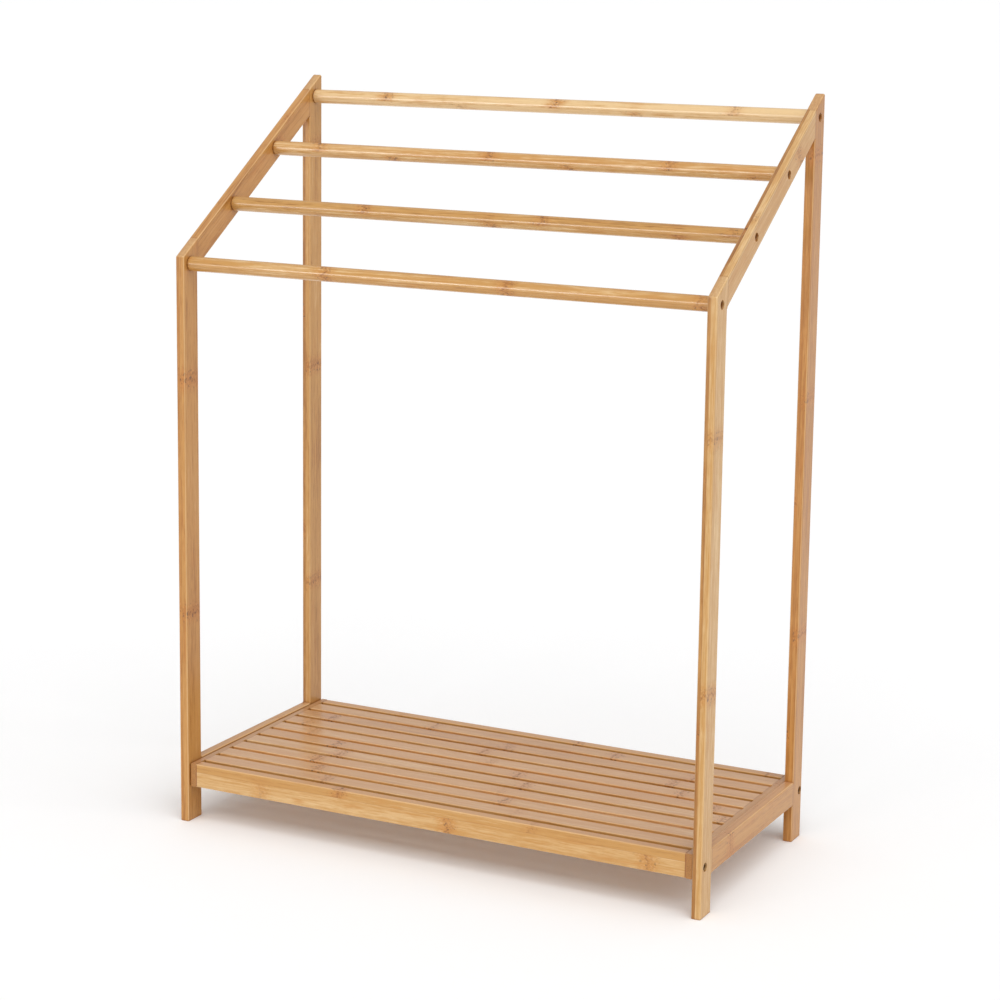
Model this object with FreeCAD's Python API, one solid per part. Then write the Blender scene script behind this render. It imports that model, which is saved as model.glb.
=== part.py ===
import FreeCAD, Part
import math
import os

# Free-standing bamboo towel rack: two side frames joined by four round towel
# rods and a slatted shelf near the floor.  Millimetres.  +X is to the right,
# +Y is to the back, +Z is up.  The origin is on the floor, at the middle of the
# rack's footprint.

# ---- driving dimensions -------------------------------------------------------

overall_width = 650.0
overall_depth = 300.0
front_height = 657.5          # the sloped top edge at the rack's front, corners not yet rounded
rear_height = 850.0           # the same edge at the rack's back

bar_thickness = 11.0          # side frame stock, across the rack
bar_width = 28.0              # side frame stock, in the plane of the frame
sloped_rail_width = 27.0
edge_radius = 1.8             # rounding along the edges of the frame stock
top_corner_radius = 2.2       # rounding of the posts' top corners, seen from the side
end_radius = 0.8              # rounding around the feet

lower_rail_bottom = 43.0

rod_diameter = 16.5
rod_end_radius = 1.2
rod_drop_in_post = 15.0       # square to the slope, from the top edge to the rod
rod_drop_in_rail = 13.4

shelf_bottom = 42.0
shelf_height = 27.5
shelf_front_recess = 3.5      # from the front posts' front faces
shelf_rear_recess = 0.5       # from the rear posts' rear faces
shelf_board_thickness = 12.0
end_board_thickness = 8.0
shelf_edge_radius = 1.5
end_board_edge_radius = 2.2

slat_count = 9
slat_width = 22.0
slat_thickness = 10.0
slat_edge_radius = 1.2
tenon_length = 4.0
tenon_height = 5.0
tenon_shoulder = 2.0          # the tenon is narrower than the slat on each side

screw_head_diameter = 9.0
screw_head_height = 5.0
screw_head_rounding = 0.7
screw_shank_diameter = 6.0
screw_hole_diameter = 6.4
counterbore_diameter = 9.8
counterbore_depth = 7.0
hex_socket_width = 4.0        # across the flats
hex_socket_depth = 3.2
rod_screw_reach = 22.0        # length of the shank inside a rod
shelf_screw_reach = 20.0      # length of the shank inside a shelf board
screw_tip_room = 1.0          # the drilled hole is deeper than the screw's tip

rod_insert_diameter = 10.0
shelf_insert_diameter = 8.4
insert_length = 15.0
insert_flange_height = 1.5
insert_flange_growth = 1.6    # the flange's diameter over the insert's

dowel_diameter = 6.0
dowel_in_post = 8.0
dowel_in_rail = 16.0
dowel_chamfer = 0.5
lower_rail_dowel_spacing = 14.0
sloped_rail_dowel_shift = 4.0
shelf_dowel_diameter = 5.0
shelf_dowel_in_end_board = 5.0
shelf_dowel_in_board = 15.0
shelf_dowel_spacing = 17.0

# ---- places worked out from them ----------------------------------------------

half_width = overall_width / 2
half_depth = overall_depth / 2
inner_half_width = half_width - bar_thickness
slope = math.atan2(rear_height - front_height, overall_depth)

front_post_y = -half_depth + bar_width / 2
rear_post_y = half_depth - bar_width / 2
rail_start_y = -half_depth + bar_width
rail_end_y = half_depth - bar_width

lower_rail_top = lower_rail_bottom + bar_width
lower_rail_middle = lower_rail_bottom + bar_width / 2

shelf_top = shelf_bottom + shelf_height
shelf_middle = shelf_bottom + shelf_height / 2
shelf_front_y = -half_depth + shelf_front_recess
shelf_rear_y = half_depth - shelf_rear_recess
end_board_inner_x = inner_half_width - end_board_thickness
front_board_y = shelf_front_y + shelf_board_thickness / 2
rear_board_y = shelf_rear_y - shelf_board_thickness / 2

slat_bay_start = shelf_front_y + shelf_board_thickness
slat_bay_depth = shelf_rear_y - shelf_board_thickness - slat_bay_start
slat_gap = (slat_bay_depth - slat_count * slat_width) / (slat_count + 1)

SIDES = {"left": -1, "right": 1}


def slope_height(y):
    """Height of the side frames' sloped top edge at a depth y."""
    return front_height + (y + half_depth) * math.tan(slope)


def rod_place(index):
    """Depth and height of a towel rod's centre; 1 is the rearmost, 4 the front one."""
    step = (rear_post_y - front_post_y) / 3
    y = rear_post_y - (index - 1) * step
    drop = rod_drop_in_post if index in (1, 4) else rod_drop_in_rail
    return y, slope_height(y) - drop / math.cos(slope)


ROD_PLACES = {index: rod_place(index) for index in (1, 2, 3, 4)}
SHELF_SCREW_PLACES = [(front_board_y, shelf_middle), (rear_board_y, shelf_middle)]


# ---- building blocks ------------------------------------------------------------

def vector(x, y, z):
    return FreeCAD.Vector(x, y, z)


def box(low, high):
    """A box between two opposite corners."""
    size = [b - a for a, b in zip(low, high)]
    return Part.makeBox(size[0], size[1], size[2], vector(*low))


def cylinder(start, direction, diameter, length):
    return Part.makeCylinder(diameter / 2, length, vector(*start), vector(*direction))


def profile_in_side_view(x, thickness, points):
    """A flat board of a given thickness, from its outline in the Y-Z plane."""
    corners = [vector(x, y, z) for y, z in points]
    face = Part.Face(Part.makePolygon(corners + corners[:1]))
    return face.extrude(vector(thickness, 0, 0))


def edges_where(shape, test):
    return [edge for edge in shape.Edges if test(edge)]


def edge_direction(edge):
    first, last = edge.Vertexes[0].Point, edge.Vertexes[-1].Point
    return (last - first).normalize()


def round_edges(shape, radius, direction):
    """Round every straight edge that runs along a direction."""
    along = vector(*direction)
    chosen = edges_where(shape, lambda edge: abs(edge_direction(edge).dot(along)) > 0.999)
    return shape.makeFillet(radius, chosen)


def one_solid(shape):
    """The single solid of a result, with leftover seams removed."""
    return shape.removeSplitter().Solids[0]


def frame_side_x(side):
    """Lowest X of a side frame's stock."""
    return -half_width if side < 0 else inner_half_width


# ---- holes and hardware ---------------------------------------------------------

def screw_hole(side, y, z):
    """Counterbored hole through a side frame, drilled from its outer face."""
    outer = side * half_width
    bore = cylinder((outer, y, z), (-side, 0, 0), screw_hole_diameter, bar_thickness)
    recess = cylinder((outer, y, z), (-side, 0, 0), counterbore_diameter, counterbore_depth)
    return bore.fuse(recess)


def connector_screw(side, y, z, reach):
    """Furniture screw with a rounded cylinder head, a hex socket and a plain shank."""
    seat = side * (half_width - counterbore_depth)
    head = cylinder((seat, y, z), (side, 0, 0), screw_head_diameter, screw_head_height)
    head_top = seat + side * screw_head_height
    rim = edges_where(head, lambda edge: abs(edge.BoundBox.Center.x - head_top) < 0.01)
    head = head.makeFillet(screw_head_rounding, rim)
    shank_length = bar_thickness - counterbore_depth + reach
    shank = cylinder((seat, y, z), (-side, 0, 0), screw_shank_diameter, shank_length)
    circle_radius = hex_socket_width / 2 / math.cos(math.radians(30))
    corners = []
    for step in range(7):
        angle = math.radians(60 * step)
        across, up = circle_radius * math.cos(angle), circle_radius * math.sin(angle)
        corners.append(vector(head_top, y + across, z + up))
    socket = Part.Face(Part.makePolygon(corners)).extrude(vector(-side * hex_socket_depth, 0, 0))
    return one_solid(head.fuse(shank).cut(socket))


def insert_outline(mouth_x, side, y, z, diameter):
    """Outer shape of a threaded insert: a sleeve with a flange at its mouth."""
    sleeve = cylinder((mouth_x, y, z), (-side, 0, 0), diameter, insert_length)
    flange = cylinder((mouth_x, y, z), (-side, 0, 0), diameter + insert_flange_growth, insert_flange_height)
    return sleeve.fuse(flange)


def threaded_insert(mouth_x, side, y, z, diameter):
    hole = cylinder((mouth_x, y, z), (-side, 0, 0), screw_shank_diameter, insert_length)
    return one_solid(insert_outline(mouth_x, side, y, z, diameter).cut(hole))


def fastener_pocket(mouth_x, side, y, z, diameter, reach):
    """Everything drilled into a member's end for its insert and screw."""
    hole = cylinder((mouth_x, y, z), (-side, 0, 0), screw_shank_diameter, reach + screw_tip_room)
    return insert_outline(mouth_x, side, y, z, diameter).fuse(hole)


def dowel(centre, direction, diameter, before, after):
    """A dowel whose joint plane is at centre: before lies behind it, after ahead."""
    start = vector(*centre) - vector(*direction) * before
    pin = Part.makeCylinder(diameter / 2, before + after, start, vector(*direction))
    rims = edges_where(pin, lambda edge: edge.Closed and len(edge.Vertexes) == 1)
    return pin.makeChamfer(dowel_chamfer, rims)


# ---- the dowels of every joint ----------------------------------------------------

def lower_rail_dowels(side):
    x = side * (half_width - bar_thickness / 2)
    pins = []
    for y, direction in ((rail_start_y, 1), (rail_end_y, -1)):
        for shift in (-lower_rail_dowel_spacing / 2, lower_rail_dowel_spacing / 2):
            place = (x, y, lower_rail_middle + shift)
            pins.append(dowel(place, (0, direction, 0), dowel_diameter, dowel_in_post, dowel_in_rail))
    return pins


def sloped_rail_dowels(side):
    x = side * (half_width - bar_thickness / 2)
    half_cut = sloped_rail_width / 2 / math.cos(slope)
    pins = []
    for y, direction in ((rail_start_y, 1), (rail_end_y, -1)):
        place = (x, y, slope_height(y) - half_cut + direction * sloped_rail_dowel_shift)
        pins.append(dowel(place, (0, direction, 0), dowel_diameter, dowel_in_post, dowel_in_rail))
    return pins


def shelf_corner_dowels(side):
    x = side * end_board_inner_x
    pins = []
    for y in (front_board_y, rear_board_y):
        for shift in (-shelf_dowel_spacing / 2, shelf_dowel_spacing / 2):
            place = (x, y, shelf_middle + shift)
            pins.append(dowel(place, (-side, 0, 0), shelf_dowel_diameter,
                              shelf_dowel_in_end_board, shelf_dowel_in_board))
    return pins


# ---- side frames -------------------------------------------------------------------

def drill(shape, tools):
    for tool in tools:
        shape = shape.cut(tool)
    return shape


def upright(side, front_y, rear_y, low_z, high_z, rounded_depths):
    """A length of post, rounded along the vertical edges that lie at given depths."""
    x = frame_side_x(side)
    shape = box((x, front_y, low_z), (x + bar_thickness, rear_y, high_z))
    edges = edges_where(shape, lambda edge: edge.BoundBox.ZLength > high_z - low_z - 0.01
                        and any(abs(edge.BoundBox.YMin - y) < 0.01 for y in rounded_depths))
    return shape.makeFillet(edge_radius, edges)


def post_head(side, free_y, joint_y, low_z):
    """The top of a post, beside the sloped rail, with its end cut to the slope."""
    outline = [(joint_y, low_z), (joint_y, slope_height(joint_y)),
               (free_y, slope_height(free_y)), (free_y, low_z)]
    shape = profile_in_side_view(frame_side_x(side), bar_thickness, outline)
    corner = edges_where(shape, lambda edge: edge.BoundBox.XLength > 1
                         and abs(edge.BoundBox.YMin - free_y) < 0.01 and edge.BoundBox.ZMin > low_z + 0.01)
    shape = shape.makeFillet(top_corner_radius, corner)
    rims = edges_where(shape, lambda edge: edge.BoundBox.XLength < 0.01 and edge.BoundBox.ZLength > 0.01
                       and abs(edge.BoundBox.Center.y - joint_y) > 0.01)
    return shape.makeFillet(edge_radius, rims)


def post(side, free_y, joint_y, drilled_places):
    """An upright; its edges are rounded where they are free and left sharp at the joints."""
    front_y, rear_y = sorted((free_y, joint_y))
    head_z = slope_height(joint_y) - sloped_rail_width / math.cos(slope)
    foot = upright(side, front_y, rear_y, 0, lower_rail_bottom, (front_y, rear_y))
    foot = foot.makeFillet(end_radius, edges_where(foot, lambda edge: edge.BoundBox.ZMax < 0.01))
    shape = foot.fuse([upright(side, front_y, rear_y, lower_rail_bottom, lower_rail_top, (free_y,)),
                       upright(side, front_y, rear_y, lower_rail_top, head_z, (front_y, rear_y)),
                       post_head(side, free_y, joint_y, head_z)])
    holes = [screw_hole(side, y, z) for y, z in drilled_places]
    shape = drill(shape.removeSplitter(), holes + lower_rail_dowels(side) + sloped_rail_dowels(side))
    return one_solid(shape)


def front_post(side):
    return post(side, -half_depth, rail_start_y, [ROD_PLACES[4], SHELF_SCREW_PLACES[0]])


def rear_post(side):
    return post(side, half_depth, rail_end_y, [ROD_PLACES[1], SHELF_SCREW_PLACES[1]])


def sloped_rail(side):
    """The slanted bar between the posts, its ends cut plumb to butt against them."""
    cut_height = sloped_rail_width / math.cos(slope)
    low, high = slope_height(rail_start_y), slope_height(rail_end_y)
    outline = [(rail_start_y, low - cut_height), (rail_end_y, high - cut_height),
               (rail_end_y, high), (rail_start_y, low)]
    shape = profile_in_side_view(frame_side_x(side), bar_thickness, outline)
    shape = round_edges(shape, edge_radius, (0, math.cos(slope), math.sin(slope)))
    holes = [screw_hole(side, *ROD_PLACES[index]) for index in (2, 3)]
    return one_solid(drill(shape, holes + sloped_rail_dowels(side)))


def lower_rail(side):
    x = frame_side_x(side)
    shape = box((x, rail_start_y, lower_rail_bottom), (x + bar_thickness, rail_end_y, lower_rail_top))
    shape = round_edges(shape, edge_radius, (0, 1, 0))
    return one_solid(drill(shape, lower_rail_dowels(side)))


# ---- towel rods ---------------------------------------------------------------------

def towel_rod(index):
    y, z = ROD_PLACES[index]
    rod = cylinder((-inner_half_width, y, z), (1, 0, 0), rod_diameter, 2 * inner_half_width)
    rims = edges_where(rod, lambda edge: edge.Closed and len(edge.Vertexes) == 1)
    rod = rod.makeFillet(rod_end_radius, rims)
    pockets = [fastener_pocket(side * inner_half_width, side, y, z, rod_insert_diameter, rod_screw_reach)
               for side in SIDES.values()]
    return one_solid(drill(rod, pockets))


# ---- shelf --------------------------------------------------------------------------

def slat_front_y(index):
    """Front edge of a slat; slat 1 is the one nearest the front board."""
    return slat_bay_start + slat_gap + (index - 1) * (slat_width + slat_gap)


def slat(index):
    """A slat with a stub tenon at each end."""
    front = slat_front_y(index)
    body = box((-end_board_inner_x, front, shelf_top - slat_thickness),
               (end_board_inner_x, front + slat_width, shelf_top))
    body = round_edges(body, slat_edge_radius, (1, 0, 0))
    middle_z = shelf_top - slat_thickness / 2
    tenon = box((-end_board_inner_x - tenon_length, front + tenon_shoulder, middle_z - tenon_height / 2),
                (end_board_inner_x + tenon_length, front + slat_width - tenon_shoulder,
                 middle_z + tenon_height / 2))
    return one_solid(body.fuse(tenon))


def shelf_board(centre_y):
    """Front or rear board of the shelf, between the two end boards."""
    half = shelf_board_thickness / 2
    shape = box((-end_board_inner_x, centre_y - half, shelf_bottom),
                (end_board_inner_x, centre_y + half, shelf_top))
    shape = round_edges(shape, shelf_edge_radius, (1, 0, 0))
    tools = []
    for side in SIDES.values():
        tools.append(fastener_pocket(side * end_board_inner_x, side, centre_y, shelf_middle,
                                     shelf_insert_diameter, shelf_screw_reach))
        tools += shelf_corner_dowels(side)
    return one_solid(drill(shape, tools))


def end_board(side, slats):
    """Board across the end of the shelf, with a mortise for each slat's tenon."""
    low_x, high_x = sorted((side * end_board_inner_x, side * inner_half_width))
    shape = box((low_x, shelf_front_y, shelf_bottom), (high_x, shelf_rear_y, shelf_top))
    outer_x = side * inner_half_width
    outer_edges = edges_where(shape, lambda edge: abs(edge.BoundBox.Center.x - outer_x) < 0.01)
    shape = shape.makeFillet(end_board_edge_radius, outer_edges)
    holes = [cylinder((outer_x, y, z), (-side, 0, 0), screw_hole_diameter, end_board_thickness)
             for y, z in SHELF_SCREW_PLACES]
    return one_solid(drill(shape, holes + shelf_corner_dowels(side) + slats))


# ---- writing the sub-parts -------------------------------------------------------------

def group(solids):
    return Part.makeCompound(solids)


def build_nodes():
    nodes = {}
    slats = {index: slat(index) for index in range(1, slat_count + 1)}
    for name, side in SIDES.items():
        nodes[name + "_front_post"] = front_post(side)
        nodes[name + "_rear_post"] = rear_post(side)
        nodes[name + "_sloped_rail"] = sloped_rail(side)
        nodes[name + "_lower_rail"] = lower_rail(side)
        nodes["shelf_" + name + "_end_board"] = end_board(side, list(slats.values()))
        nodes[name + "_rod_screws"] = group(
            [connector_screw(side, y, z, rod_screw_reach) for y, z in ROD_PLACES.values()])
        nodes[name + "_shelf_screws"] = group(
            [connector_screw(side, y, z, end_board_thickness + shelf_screw_reach)
             for y, z in SHELF_SCREW_PLACES])
        nodes[name + "_rod_inserts"] = group(
            [threaded_insert(side * inner_half_width, side, y, z, rod_insert_diameter)
             for y, z in ROD_PLACES.values()])
        nodes[name + "_shelf_inserts"] = group(
            [threaded_insert(side * end_board_inner_x, side, y, z, shelf_insert_diameter)
             for y, z in SHELF_SCREW_PLACES])
        nodes[name + "_frame_dowels"] = group(lower_rail_dowels(side) + sloped_rail_dowels(side))
        nodes["shelf_" + name + "_dowels"] = group(shelf_corner_dowels(side))
    for index in ROD_PLACES:
        nodes["towel_rod_" + str(index)] = towel_rod(index)
    nodes["shelf_front_board"] = shelf_board(front_board_y)
    nodes["shelf_rear_board"] = shelf_board(rear_board_y)
    for index, shape in slats.items():
        nodes["shelf_slat_" + str(index)] = shape
    return nodes


os.makedirs("parts", exist_ok=True)
for node_name, node_shape in build_nodes().items():
    node_shape.exportStep("parts/" + node_name + ".step")
    print(node_name, "solids", len(node_shape.Solids), "valid", node_shape.isValid(),
          "volume", round(node_shape.Volume, 1))
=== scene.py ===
"""Looks of the free-standing bamboo towel rack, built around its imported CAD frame."""

import math

import bpy
from mathutils import Matrix, Vector


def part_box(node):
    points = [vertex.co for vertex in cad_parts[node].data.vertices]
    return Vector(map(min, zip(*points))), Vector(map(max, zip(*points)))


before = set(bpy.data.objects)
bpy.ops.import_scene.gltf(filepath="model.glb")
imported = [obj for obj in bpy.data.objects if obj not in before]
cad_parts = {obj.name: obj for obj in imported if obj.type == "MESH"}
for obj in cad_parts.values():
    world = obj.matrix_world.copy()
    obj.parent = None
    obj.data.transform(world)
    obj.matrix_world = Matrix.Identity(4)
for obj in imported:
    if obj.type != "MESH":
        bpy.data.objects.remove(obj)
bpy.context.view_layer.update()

# ---- camera: place in metres, angles in degrees, lens and sensor in millimetres ------

CAMERA_PLACE = (1.266, -2.502, 0.993)
CAMERA_AZIMUTH = 26.71
CAMERA_ELEVATION = 9.94
CAMERA_ROLL = 0.735
CAMERA_LENS = 91.4
CAMERA_SENSOR = 36.0
CAMERA_SHIFT_UP = -0.10         # a part of the picture's width
CAMERA_FAR_CLIP = 500.0

# ---- colours, linear -----------------------------------------------------------------

HONEY_DARK = (0.24, 0.085, 0.010)
HONEY_MIDDLE = (0.535, 0.284, 0.080)
HONEY_LIGHT = (0.77, 0.555, 0.290)
HONEY_ORANGE = (0.56, 0.225, 0.048)
# Painted sheen: a pink laid on upward faces for the white reflection they would catch.
PAINTED_SHEEN_PINK = (0.60, 0.35, 0.22)
# Painted highlight: the pale colour laid on rounded corners, as if they caught the light.
EDGE_HIGHLIGHT_PALE = (0.82, 0.60, 0.34)
# Painted light: the bright gold laid on flanks, as if they were lit.
PAINTED_LIT_FLANK = (0.80, 0.36, 0.13)
# Painted shade: the brown laid in crevices and where pieces meet.
CREVICE_SHADE_BROWN = (0.29, 0.092, 0.018)
NODE_BROWN = (0.26, 0.085, 0.015)
SPECK_BROWN = (0.075, 0.038, 0.022)
END_GRAIN = (0.46, 0.210, 0.058)
END_GRAIN_DOT = (0.14, 0.058, 0.018)
# Painted shade: the shelf screws are made near-black so that their recesses look shaded.
SHADE_DARK_STEEL = (0.030, 0.018, 0.011)
SHADE_DARK_STAIN = (0.010, 0.007, 0.005)
BRONZED_STEEL = (0.50, 0.23, 0.085)
BRONZED_STAIN = (0.30, 0.13, 0.045)
YELLOW_ZINC = (0.62, 0.47, 0.20)
YELLOW_ZINC_STAIN = (0.42, 0.32, 0.16)
DOWEL_PALE = (0.62, 0.45, 0.27)
DOWEL_DARK = (0.44, 0.28, 0.14)
FLOOR_PALE = (0.975, 0.975, 0.98)
FLOOR_PALER = (0.99, 0.99, 0.99)

# ---- measures, metres ----------------------------------------------------------------

FRAME_STRIP = 0.0078            # a whole strip, of which a side frame's stock shows a part
FRAME_GLUE_LINE = 0.0044        # from the stock's left face to the line between its strips
BOARD_STRIP = 0.0185            # a whole strip in the shelf's boards
BOARD_GLUE_LINE = 0.0095        # from the shelf's top down to the long boards' glue line
ROD_STRIP = 0.012               # a whole strip in a towel rod
ROD_GLUE_LINES = (0.001, -0.002)  # from a rod's middle, backwards and upwards
FIBRE_WANDER = 0.0045           # the most that fibres wander from side to side
# Reach of the painted crevice shade.
CREVICE_REACH = 0.0045          # pieces nearer than this make a dark crevice
FLOOR_HALF = 150.0              # half the floor's width

# Width and start of cells that hold a member whole, so that it is one strip deep; only
# the sloped rails have a glue line, near their top.  A cell's number also picks the
# strip's random value.
POST_CELL = (0.04, -0.2)
RAIL_CELL = (0.05, -0.48)
SLAT_CELL = (0.05, 0.03)
BOARD_CELL_WIDTH = 0.04

# ---- looks ---------------------------------------------------------------------------

# tone, step between the two strips, grain, warmth and random seed
SIDE_FRAME_LOOKS = {
    "left_front_post": (0.46, 0.24, 0.9, 0.22, 3),
    "left_rear_post": (0.46, 0.24, 0.9, 0.05, 8),
    "left_sloped_rail": (0.47, 0.07, 0.95, 0.22, 12),
    "left_lower_rail": (0.50, 0.10, 0.9, 0.10, 17),
    "right_front_post": (0.69, 0.50, 0.6, 0.0, 23),
    "right_rear_post": (0.28, 0.10, 0.9, 0.28, 29),
    "right_sloped_rail": (0.63, 0.42, 0.7, 0.0, 31),
    "right_lower_rail": (0.39, 0.10, 0.8, 0.25, 37),
}
ROD_TONES = {1: 0.98, 2: 0.66, 3: 0.57, 4: 0.52}
BOARD_SEEDS = {"shelf_front_board": 71, "shelf_rear_board": 77}
END_BOARD_SEEDS = {"shelf_left_end_board": 83, "shelf_right_end_board": 89}
SLAT_COUNT = 9
# Strengths of the painted light on the slats' flanks, in turn.
SLAT_LIT_FLANKS = (0.08, 0.26, 0.44)

# azimuth and elevation in degrees, strength, and spread in degrees
SOFTBOXES = {
    "overhead_softbox": (22, 58, 1.28, 44),
    "right_softbox": (85, 40, 0.54, 40),
    "low_front_strip": (-27, 4, 0.60, 13),
}
WORLD_STRENGTH = 0.57

X_AXIS = Vector((1, 0, 0))
Y_AXIS = Vector((0, 1, 0))
Z_AXIS = Vector((0, 0, 1))


# ---- a small language for shader graphs ----------------------------------------------

class Graph:
    """A material's node tree; every input may be a socket or a plain value."""

    def __init__(self, name):
        self.material = bpy.data.materials.new(name)
        self.material.use_nodes = True
        self.tree = self.material.node_tree
        self.tree.nodes.clear()
        self.output = self.node("ShaderNodeOutputMaterial")

    def node(self, kind, **settings):
        made = self.tree.nodes.new(kind)
        for key, value in settings.items():
            setattr(made, key, value)
        return made

    def feed(self, socket, value):
        if isinstance(value, bpy.types.NodeSocket):
            self.tree.links.new(value, socket)
        elif socket.type == "RGBA":
            socket.default_value = (*value, 1.0)
        else:
            socket.default_value = value

    def math(self, operation, first, second=0.0):
        made = self.node("ShaderNodeMath", operation=operation)
        for socket, value in zip(made.inputs, (first, second)):
            self.feed(socket, value)
        return made.outputs[0]

    def add(self, first, second):
        return self.math("ADD", first, second)

    def subtract(self, first, second):
        return self.math("SUBTRACT", first, second)

    def times(self, first, second):
        return self.math("MULTIPLY", first, second)

    def centred(self, value):
        """A noise or a strip's place, shifted to lie about zero."""
        return self.subtract(value, 0.5)

    def absolute(self, value):
        return self.math("ABSOLUTE", value)

    def dot(self, vector, axis):
        made = self.node("ShaderNodeVectorMath", operation="DOT_PRODUCT")
        self.feed(made.inputs[0], vector)
        self.feed(made.inputs[1], tuple(axis))
        return made.outputs["Value"]

    def combine(self, x, y, z):
        made = self.node("ShaderNodeCombineXYZ")
        for socket, value in zip(made.inputs, (x, y, z)):
            self.feed(socket, value)
        return made.outputs[0]

    def ramp_value(self, value, low, high, out_low=0.0, out_high=1.0):
        """Smooth step from low to high."""
        made = self.node("ShaderNodeMapRange", interpolation_type="SMOOTHSTEP")
        for socket, item in zip(made.inputs, (value, low, high, out_low, out_high)):
            self.feed(socket, item)
        return made.outputs[0]

    def noise(self, vector, scale=1.0, detail=2.0, roughness=0.5):
        made = self.node("ShaderNodeTexNoise", noise_dimensions="3D")
        self.feed(made.inputs["Vector"], vector)
        made.inputs["Scale"].default_value = scale
        made.inputs["Detail"].default_value = detail
        made.inputs["Roughness"].default_value = roughness
        return made.outputs["Fac"]

    def random(self, vector):
        """A random value and a random colour for each whole-numbered vector."""
        made = self.node("ShaderNodeTexWhiteNoise", noise_dimensions="3D")
        self.feed(made.inputs["Vector"], vector)
        return made.outputs["Value"], made.outputs["Color"]

    def dots(self, vector, scale):
        made = self.node("ShaderNodeTexVoronoi", voronoi_dimensions="3D", feature="F1")
        self.feed(made.inputs["Vector"], vector)
        made.inputs["Scale"].default_value = scale
        return made.outputs["Distance"]

    def openness(self, reach):
        """How open a point is to its surroundings, 0 deep in a crevice to 1 outside."""
        made = self.node("ShaderNodeAmbientOcclusion", samples=6)
        made.inputs["Distance"].default_value = reach
        return made.outputs["AO"]

    def mix(self, factor, first, second):
        """Mix two colours; a Mix node's colour sockets have no names of their own."""
        made = self.node("ShaderNodeMix", data_type="RGBA")
        self.feed(made.inputs["Factor"], factor)
        self.feed(made.inputs[6], first)
        self.feed(made.inputs[7], second)
        return made.outputs[2]

    def bump(self, height, strength, distance):
        made = self.node("ShaderNodeBump")
        made.inputs["Strength"].default_value = strength
        made.inputs["Distance"].default_value = distance
        self.feed(made.inputs["Height"], height)
        return made.outputs["Normal"]

    def principled(self, colour, roughness, normal, **constants):
        made = self.node("ShaderNodeBsdfPrincipled")
        self.feed(made.inputs["Base Color"], colour)
        self.feed(made.inputs["Roughness"], roughness)
        self.feed(made.inputs["Normal"], normal)
        for key, value in constants.items():
            made.inputs[key.replace("_", " ")].default_value = value
        self.tree.links.new(made.outputs[0], self.output.inputs[0])
        return self.material


# ---- laminated bamboo ----------------------------------------------------------------

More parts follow.
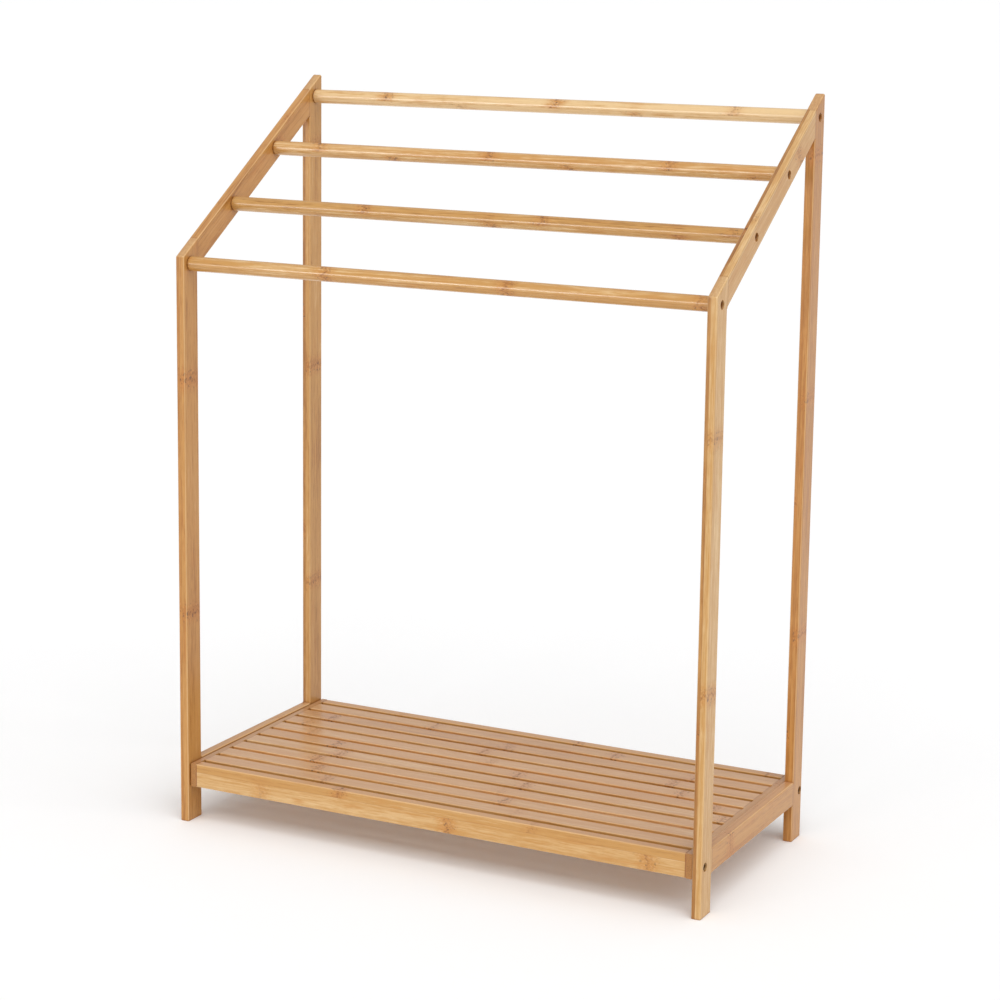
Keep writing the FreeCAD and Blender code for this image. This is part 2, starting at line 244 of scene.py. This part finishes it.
class Bamboo(Graph):
    """Bamboo glued up from strips that run along a member.

    run, side and up are a point's places along the member, across it and square to
    both.  The strips, fibres and nodes are laid out first, and then the colour is
    built up in layers.
    """

    def __init__(self, name, along, across, seed):
        super().__init__(name)
        self.seed = seed
        self.along, self.across = along.normalized(), across.normalized()
        self.square = self.along.cross(self.across)
        self.place = self.node("ShaderNodeTexCoord").outputs["Object"]
        self.normal = self.node("ShaderNodeNewGeometry").outputs["Normal"]
        self.run = self.dot(self.place, self.along)
        self.side = self.dot(self.place, self.across)
        self.up = self.dot(self.place, self.square)

    def stretched(self, place, run_scale, cross_scale, shift=0.0):
        """A texture place, scaled one way along the member and another way across it."""
        run, side, up = place
        return self.combine(self.times(run, run_scale), self.times(side, cross_scale),
                            self.add(self.times(up, cross_scale), shift))

    def facing(self, axis):
        """How squarely a face looks along an axis, either way."""
        return self.absolute(self.dot(self.normal, axis))

    def paint(self, factor, colour):
        """Lay a colour over what has been painted so far."""
        self.colour = self.mix(factor, self.colour, colour)

    def lay_strips(self, strips):
        """Divide the member into strips, each with its own random value and colour."""
        (self.side_width, side_start), (self.up_width, up_start) = strips
        side_cell = self.times(self.subtract(self.side, side_start), 1 / self.side_width)
        up_cell = self.times(self.subtract(self.up, up_start), 1 / self.up_width)
        self.side_index = self.math("FLOOR", side_cell)
        self.up_index = self.math("FLOOR", up_cell)
        self.side_place = self.centred(self.subtract(side_cell, self.side_index))
        self.up_place = self.centred(self.subtract(up_cell, self.up_index))
        cell = self.combine(self.side_index, self.up_index, self.seed)
        self.strip_value, strip_colour = self.random(cell)
        parts = self.node("ShaderNodeSeparateColor")
        self.feed(parts.inputs["Color"], strip_colour)
        strip_shift, self.strip_warmth = parts.outputs["Green"], parts.outputs["Blue"]
        self.strip_run = self.add(self.run, self.times(strip_shift, 5.0))

    def fibre(self, run_scale, cross_scale, detail, offset):
        """Noise drawn out along a strip; each strip has its own."""
        place = self.stretched((self.strip_run, self.side_bent, self.up_bent),
                               run_scale, cross_scale, self.seed + offset)
        return self.noise(place, detail=detail, roughness=0.6)

    def lay_fibres(self):
        """Long fibres that wander a little, from broad bands down to single bundles."""
        waves = self.noise(self.stretched((self.strip_run, self.side, self.up),
                                          13.0, 40.0, self.seed))
        wander = self.times(self.centred(waves), FIBRE_WANDER)
        self.side_bent, self.up_bent = self.add(self.side, wander), self.add(self.up, wander)
        self.broad = self.fibre(4.0, 55.0, 2.0, 0.0)
        self.bands = self.fibre(7.0, 360.0, 2.0, 3.1)
        self.dashes = self.fibre(60.0, 520.0, 2.0, 5.3)
        self.fibres = self.fibre(20.0, 1300.0, 2.0, 7.7)
        self.bundles = self.ramp_value(self.fibre(42.0, 2300.0, 1.0, 11.9), 0.60, 0.72)
        self.streaks = self.ramp_value(self.fibre(9.0, 300.0, 3.0, 19.3), 0.58, 0.74)
        self.smudges = self.ramp_value(self.fibre(15.0, 70.0, 2.0, 27.1), 0.56, 0.74)

    def lay_nodes(self, pitch):
        """The culm's nodes: broken brown arcs across each strip, in a mottled, specked zone."""
        start = self.add(self.times(self.strip_value, 3.0), self.seed * 0.37)
        turns = self.add(self.times(self.run, 1 / pitch), start)
        from_node = self.times(self.centred(self.math("FRACT", turns)), pitch)
        squares = self.add(self.times(self.side_place, self.side_place),
                           self.times(self.up_place, self.up_place))
        bowed = self.add(from_node, self.times(squares, 0.014))
        straight = (self.run, self.side, self.up)
        bent = (self.run, self.side_bent, self.up_bent)
        jagged = self.noise(self.stretched(straight, 70.0, 330.0), detail=3.0, roughness=0.7)
        curved = self.add(bowed, self.times(self.centred(jagged), 0.016))
        ridge = self.ramp_value(self.absolute(curved), 0.0030, 0.0004)
        scar = self.ramp_value(self.absolute(self.subtract(curved, 0.0055)), 0.0020, 0.0003)
        speckle = self.noise(self.stretched(bent, 240.0, 640.0), detail=2.0, roughness=0.6)
        strip_node = self.combine(self.math("FLOOR", turns), self.side_index, self.up_index)
        strength = self.ramp_value(self.noise(strip_node, scale=3.7), 0.34, 0.56, 0.35, 1.0)
        arcs = self.times(self.math("MAXIMUM", ridge, self.times(scar, 0.6)),
                          self.ramp_value(speckle, 0.42, 0.55))
        self.node_line = self.times(arcs, strength)
        self.node_zone = self.times(self.ramp_value(self.absolute(bowed), 0.018, 0.001), strength)
        self.mottle = self.times(self.node_zone, self.centred(speckle))
        specks = self.ramp_value(self.noise(self.stretched(straight, 230.0, 300.0)), 0.61, 0.67)
        self.specks = self.times(specks, self.add(self.times(self.node_zone, 0.9), 0.05))

    def lightness(self, tone, steps, contrast, grain):
        """How light a point is, from 0 to 1, by its strip, its fibres and its node."""
        light = self.add(tone, self.times(self.centred(self.strip_value), contrast))
        light = self.add(light, self.times(self.side_index, steps[0]))
        light = self.add(light, self.times(self.up_index, steps[1]))
        for layer, amount in ((self.broad, 0.70), (self.bands, 0.85),
                              (self.dashes, 0.60), (self.fibres, 0.50)):
            light = self.add(light, self.times(self.centred(layer), amount * grain))
        marks = self.add(self.times(self.bundles, 0.13), self.times(self.streaks, 0.15))
        light = self.subtract(light, marks)
        stains = self.add(self.times(self.smudges, 0.12), self.times(self.node_zone, 0.14))
        light = self.subtract(light, stains)
        return self.add(light, self.times(self.mottle, 1.5))

    def colour_wood(self, light, warmth):
        """Honey colours by lightness, more orange in the streaks and round the nodes."""
        dark_part = self.mix(self.ramp_value(light, 0.0, 0.5), HONEY_DARK, HONEY_MIDDLE)
        self.colour = self.mix(self.ramp_value(light, 0.5, 1.0), dark_part, HONEY_LIGHT)
        warm = self.add(self.times(self.strip_warmth, 0.22),
                        self.times(self.add(self.streaks, self.smudges), 0.22))
        warm = self.add(warm, self.add(self.times(self.node_zone, 0.35), warmth))
        self.paint(warm, HONEY_ORANGE)

    def paint_top_sheen_and_lit_flanks(self, top_sheen, lit_flanks):
        """Painted sheen, a pink on upward faces, and painted light that brightens the flanks."""
        upward = self.dot(self.normal, Z_AXIS)
        # Painted sheen: upward faces are tinted pink.
        self.paint(self.ramp_value(upward, 0.5, 0.95, 0.0, top_sheen), PAINTED_SHEEN_PINK)
        # Painted light: the flanks across the member are brightened gold.
        self.paint(self.ramp_value(self.facing(self.across), 0.7, 0.95, 0.0, lit_flanks), PAINTED_LIT_FLANK)

    def draw_nodes(self):
        self.paint(self.times(self.node_line, 0.80), NODE_BROWN)
        self.paint(self.times(self.specks, 0.8), SPECK_BROWN)

    def glue_line(self, strip_place, width):
        """A hairline where one strip's edge meets the next."""
        from_middle = self.times(self.absolute(strip_place), width)
        return self.ramp_value(from_middle, width / 2 - 0.00040, width / 2 - 0.00005)

    def glue(self, joint, joint_depth):
        """Hairline glue lines between the strips, and darker lines at the end joints."""
        lines = self.math("MAXIMUM", self.glue_line(self.side_place, self.side_width),
                          self.glue_line(self.up_place, self.up_width))
        self.seams = self.times(lines, 0.30)
        if joint is not None:
            axis, reach = joint
            from_joint = self.subtract(reach, self.absolute(self.dot(self.place, axis)))
            joint_line = self.times(self.ramp_value(from_joint, 0.0019, 0.0011), joint_depth)
            self.seams = self.math("MAXIMUM", self.seams, joint_line)
        self.paint(self.seams, NODE_BROWN)

    def paint_edge_highlights(self):
        """Painted highlight: rounded corners are made paler, as if they caught the light."""
        squareness = self.math("MAXIMUM", self.facing(self.across), self.facing(self.square))
        patchy = self.add(0.10, self.times(self.bands, 0.55))
        # Painted highlight on the rounded corners.
        self.paint(self.times(self.ramp_value(squareness, 0.985, 0.80), patchy), EDGE_HIGHLIGHT_PALE)

    def paint_crevice_shade(self):
        """Painted shade: darker where pieces meet and in recesses."""
        crevice = self.ramp_value(self.openness(CREVICE_REACH), 0.84, 0.22)
        # Painted shade in crevices and recesses.
        self.paint(self.times(crevice, 0.82), CREVICE_SHADE_BROWN)

    def cut_ends(self):
        """End grain: the cut bundles show as dark dots in paler tissue."""
        self.end = self.ramp_value(self.facing(self.along), 0.76, 0.97)
        dots = self.dots(self.combine(self.side, self.up, self.times(self.run, 0.02)), 1100.0)
        self.cut_bundles = self.ramp_value(dots, 0.42, 0.20)
        tissue = self.mix(self.times(self.broad, 0.5), END_GRAIN, HONEY_DARK)
        self.paint(self.end, self.mix(self.times(self.cut_bundles, 0.75), tissue, END_GRAIN_DOT))

    def lacquer(self, coat):
        """The finished surface, with its fine relief under a thin coat."""
        rough = self.add(0.34, self.times(self.centred(self.fibres), 0.18))
        dull = self.add(self.times(self.node_line, 0.12), self.times(self.end, 0.22))
        ridges = self.add(self.times(self.bands, 0.45), self.times(self.fibres, 0.45))
        grooves = self.add(self.times(self.bundles, 0.25), self.times(self.node_line, 0.9))
        pits = self.times(self.times(self.end, self.cut_bundles), 0.7)
        hollows = self.add(self.times(self.seams, 0.8), pits)
        height = self.subtract(self.subtract(ridges, grooves), hollows)
        return self.principled(self.colour, self.add(rough, dull),
                               self.bump(height, 0.28, 0.0003), Coat_Weight=coat,
                               Coat_Roughness=0.19, IOR=1.5, Specular_IOR_Level=0.36)


def bamboo(name, along, across, seed, strips, tone, steps=(0.0, 0.0), contrast=0.24,
           grain=1.0, warmth=0.0, top_sheen=0.0, lit_flanks=0.0, node_pitch=0.27, joint=None,
           joint_depth=0.35, edge_highlights=True, coat=0.18):
    """Lacquered bamboo for one member.

    strips holds, for the directions across and square to it, the width of a strip
    and the place of one glue line; steps is how much lighter the strip past that
    line is.  tone is how light the wood is from 0 to 1, and contrast how much that
    differs from strip to strip.  grain is how strongly the fibres show, warmth how
    orange the wood is, top_sheen how much painted pink sheen its upward faces get, and
    lit_flanks how much painted light brightens its flanks.  node_pitch is how far apart
    the culm's nodes lie.  joint is the level direction in which the member's two end
    joints lie apart, and half their distance; joint_depth is how dark they are.
    edge_highlights is for members with painted highlights on their rounded corners,
    and coat is how much lacquer stands on the wood.
    """
    wood = Bamboo(name, along, across, seed)
    wood.lay_strips(strips)
    wood.lay_fibres()
    wood.lay_nodes(node_pitch)
    wood.colour_wood(wood.lightness(tone, steps, contrast, grain), warmth)
    wood.paint_top_sheen_and_lit_flanks(top_sheen, lit_flanks)
    wood.draw_nodes()
    wood.glue(joint, joint_depth)
    if edge_highlights:
        wood.paint_edge_highlights()
    wood.paint_crevice_shade()
    wood.cut_ends()
    return wood.lacquer(coat)


# ---- metal and dowel wood ------------------------------------------------------------

def metal(name, colour, stain, roughness, seed):
    """Plated or burnished steel: fine turning marks, blotches and dull patches."""
    g = Graph(name)
    place = g.node("ShaderNodeTexCoord").outputs["Object"]
    x, y, z = (g.dot(place, axis) for axis in (X_AXIS, Y_AXIS, Z_AXIS))
    turning = g.noise(g.combine(g.times(x, 4000.0), g.times(y, 600.0),
                                g.add(g.times(z, 600.0), seed)))
    blotch = g.noise(place, scale=420.0, detail=4.0, roughness=0.65)
    shade = g.mix(g.ramp_value(blotch, 0.42, 0.68), colour, stain)
    rough = g.add(roughness, g.times(g.centred(blotch), 0.30))
    return g.principled(shade, rough, g.bump(turning, 0.25, 0.0001), Metallic=1.0)


def dowel_wood(name):
    """Bare turned hardwood with short grain, for the pins inside the joints."""
    g = Graph(name)
    place = g.node("ShaderNodeTexCoord").outputs["Object"]
    grain = g.noise(place, scale=900.0, detail=4.0, roughness=0.6)
    tint = g.mix(g.ramp_value(grain, 0.35, 0.7), DOWEL_PALE, DOWEL_DARK)
    return g.principled(tint, g.add(0.6, g.times(grain, 0.2)), g.bump(grain, 0.3, 0.0002))


# ---- dressing the CAD nodes ----------------------------------------------------------

def dress(node, material):
    """Give a CAD node its finished material."""
    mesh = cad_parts[node].data
    mesh.materials.clear()
    mesh.materials.append(material)


def middle(node):
    low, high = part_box(node)
    return (low + high) / 2


def centred_cell(place, width):
    """A cell round a place: its width and where it starts."""
    return width, place - width / 2


def slope_direction():
    """Direction of the sloped rails, from the rods that sit in their middle."""
    return (middle("towel_rod_2") - middle("towel_rod_3")).normalized()


def dress_side_frames():
    """Posts and rails, which are laminated from two strips side by side."""
    rail_joint = (Y_AXIS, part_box("left_lower_rail")[1].y)
    directions = {"front_post": Z_AXIS, "rear_post": Z_AXIS,
                  "sloped_rail": slope_direction(), "lower_rail": Y_AXIS}
    for node, (tone, step, grain, warmth, seed) in SIDE_FRAME_LOOKS.items():
        part = node.split("_", 1)[1]
        lamination = (FRAME_STRIP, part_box(node)[0].x + FRAME_GLUE_LINE)
        strips = (lamination, POST_CELL if "post" in part else RAIL_CELL)
        dress(node, bamboo("bamboo_" + node, directions[part], X_AXIS, seed, strips, tone,
                           steps=(step, 0.0), contrast=0.08, grain=grain, warmth=warmth,
                           top_sheen=0.35 if part == "lower_rail" else 0.12,
                           joint=rail_joint if "rail" in part else None))


def dress_rods():
    """Rods of bigger strips, whose glue lines run a little off their middle."""
    for index, tone in ROD_TONES.items():
        node = "towel_rod_" + str(index)
        centre = middle(node)
        back, up = ROD_GLUE_LINES
        strips = ((ROD_STRIP, centre.y + back), (ROD_STRIP, centre.z + up))
        dress(node, bamboo("bamboo_" + node, X_AXIS, Y_AXIS, 41 + 5 * index, strips, tone,
                           contrast=0.14, node_pitch=0.22, joint=(X_AXIS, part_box(node)[1].x),
                           edge_highlights=False, coat=0.55))


def dress_shelf_boards(shelf_top, joint):
    """The boards round the shelf, each glued up from strips one above the other."""
    lamination = (BOARD_STRIP, shelf_top - BOARD_GLUE_LINE)
    for node, seed in BOARD_SEEDS.items():
        strips = (centred_cell(middle(node).y, BOARD_CELL_WIDTH), lamination)
        dress(node, bamboo("bamboo_" + node, X_AXIS, Y_AXIS, seed, strips, 0.48,
                           steps=(0.0, -0.18), contrast=0.10, grain=0.6, top_sheen=0.45,
                           node_pitch=0.24, joint=joint, joint_depth=0.85))
    for node, seed in END_BOARD_SEEDS.items():
        strips = (centred_cell(middle(node).x, BOARD_CELL_WIDTH), lamination)
        dress(node, bamboo("bamboo_" + node, Y_AXIS, X_AXIS, seed, strips, 0.54, top_sheen=0.45))


def dress_slats(joint):
    """Slats of a single strip, whose flanks get painted light of three strengths in turn."""
    for index in range(1, SLAT_COUNT + 1):
        node = "shelf_slat_" + str(index)
        strips = (centred_cell(middle(node).y, SLAT_CELL[0]), SLAT_CELL)
        lit_flanks = SLAT_LIT_FLANKS[(index - 1) % len(SLAT_LIT_FLANKS)]
        dress(node, bamboo("bamboo_" + node, X_AXIS, Y_AXIS, 101 + 6 * index, strips, 0.49,
                           contrast=0.34, top_sheen=0.50, lit_flanks=lit_flanks, node_pitch=0.24,
                           joint=joint, joint_depth=0.45, coat=0.40))


def dress_shelf():
    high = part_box("shelf_front_board")[1]
    joint = (X_AXIS, high.x)
    dress_shelf_boards(high.z, joint)
    dress_slats(joint)


def dress_hardware():
    # Painted shade: near-black shelf screws stand in for the shade in their recesses.
    shade_dark_screw = metal("shade_dark_steel", SHADE_DARK_STEEL, SHADE_DARK_STAIN, 0.24, 2.0)
    brown_screw = metal("bronzed_steel", BRONZED_STEEL, BRONZED_STAIN, 0.34, 3.0)
    insert = metal("yellow_zinc", YELLOW_ZINC, YELLOW_ZINC_STAIN, 0.34, 5.0)
    pin = dowel_wood("dowel_hardwood")
    for side in ("left", "right"):
        dress(side + "_rod_screws", brown_screw)
        dress(side + "_shelf_screws", shade_dark_screw)
        for kind in ("_rod_inserts", "_shelf_inserts"):
            dress(side + kind, insert)
        dress(side + "_frame_dowels", pin)
        dress("shelf_" + side + "_dowels", pin)


# ---- floor, light and camera ---------------------------------------------------------

def make_floor():
    """A wide, pale, faintly uneven studio floor."""
    mesh = bpy.data.meshes.new("studio_floor")
    corners = [(x * FLOOR_HALF, y * FLOOR_HALF, 0)
               for x, y in ((-1, -1), (1, -1), (1, 1), (-1, 1))]
    mesh.from_pydata(corners, [], [(0, 1, 2, 3)])
    floor = bpy.data.objects.new("studio_floor", mesh)
    bpy.context.scene.collection.objects.link(floor)
    g = Graph("pale_floor")
    clouds = g.noise(g.node("ShaderNodeTexCoord").outputs["Object"], scale=3.0, detail=3.0)
    colour = g.mix(clouds, FLOOR_PALE, FLOOR_PALER)
    mesh.materials.append(g.principled(colour, 0.95, g.bump(clouds, 0.05, 0.001),
                                       Specular_IOR_Level=0.1))


def away(azimuth, elevation):
    """Unit vector from the object towards an azimuth and elevation in degrees."""
    turn, rise = math.radians(azimuth), math.radians(elevation)
    return Vector((math.sin(turn) * math.cos(rise), -math.cos(turn) * math.cos(rise),
                   math.sin(rise)))


def sun(name, azimuth, elevation, strength, softness):
    """A soft distant light that comes from an azimuth, counted as the camera's is."""
    data = bpy.data.lights.new(name, "SUN")
    data.energy = strength
    data.angle = math.radians(softness)
    lamp = bpy.data.objects.new(name, data)
    lamp.rotation_mode = "QUATERNION"
    lamp.rotation_quaternion = away(azimuth, elevation).to_track_quat("Z", "Y")
    bpy.context.scene.collection.objects.link(lamp)


def make_light():
    world = bpy.data.worlds.new("studio")
    bpy.context.scene.world = world
    world.use_nodes = True
    background = world.node_tree.nodes["Background"]
    background.inputs["Color"].default_value = (1.0, 1.0, 1.0, 1.0)
    background.inputs["Strength"].default_value = WORLD_STRENGTH
    for name, (azimuth, elevation, strength, softness) in SOFTBOXES.items():
        sun(name, azimuth, elevation, strength, softness)
    bpy.context.scene.view_settings.view_transform = "Standard"


def make_camera():
    data = bpy.data.cameras.new("camera")
    data.lens = CAMERA_LENS
    data.sensor_width = CAMERA_SENSOR
    data.shift_y = CAMERA_SHIFT_UP
    data.clip_end = CAMERA_FAR_CLIP
    camera = bpy.data.objects.new("camera", data)
    back = away(CAMERA_AZIMUTH, CAMERA_ELEVATION)
    level_right = Z_AXIS.cross(back).normalized()
    level_up = back.cross(level_right)
    roll = math.radians(CAMERA_ROLL)
    right = level_right * math.cos(roll) + level_up * math.sin(roll)
    up = back.cross(right)
    turn = Matrix((right, up, back)).transposed().to_4x4()
    camera.matrix_world = Matrix.Translation(CAMERA_PLACE) @ turn
    bpy.context.scene.collection.objects.link(camera)
    bpy.context.scene.camera = camera


dress_side_frames()
dress_rods()
dress_shelf()
dress_hardware()
make_floor()
make_light()
make_camera()
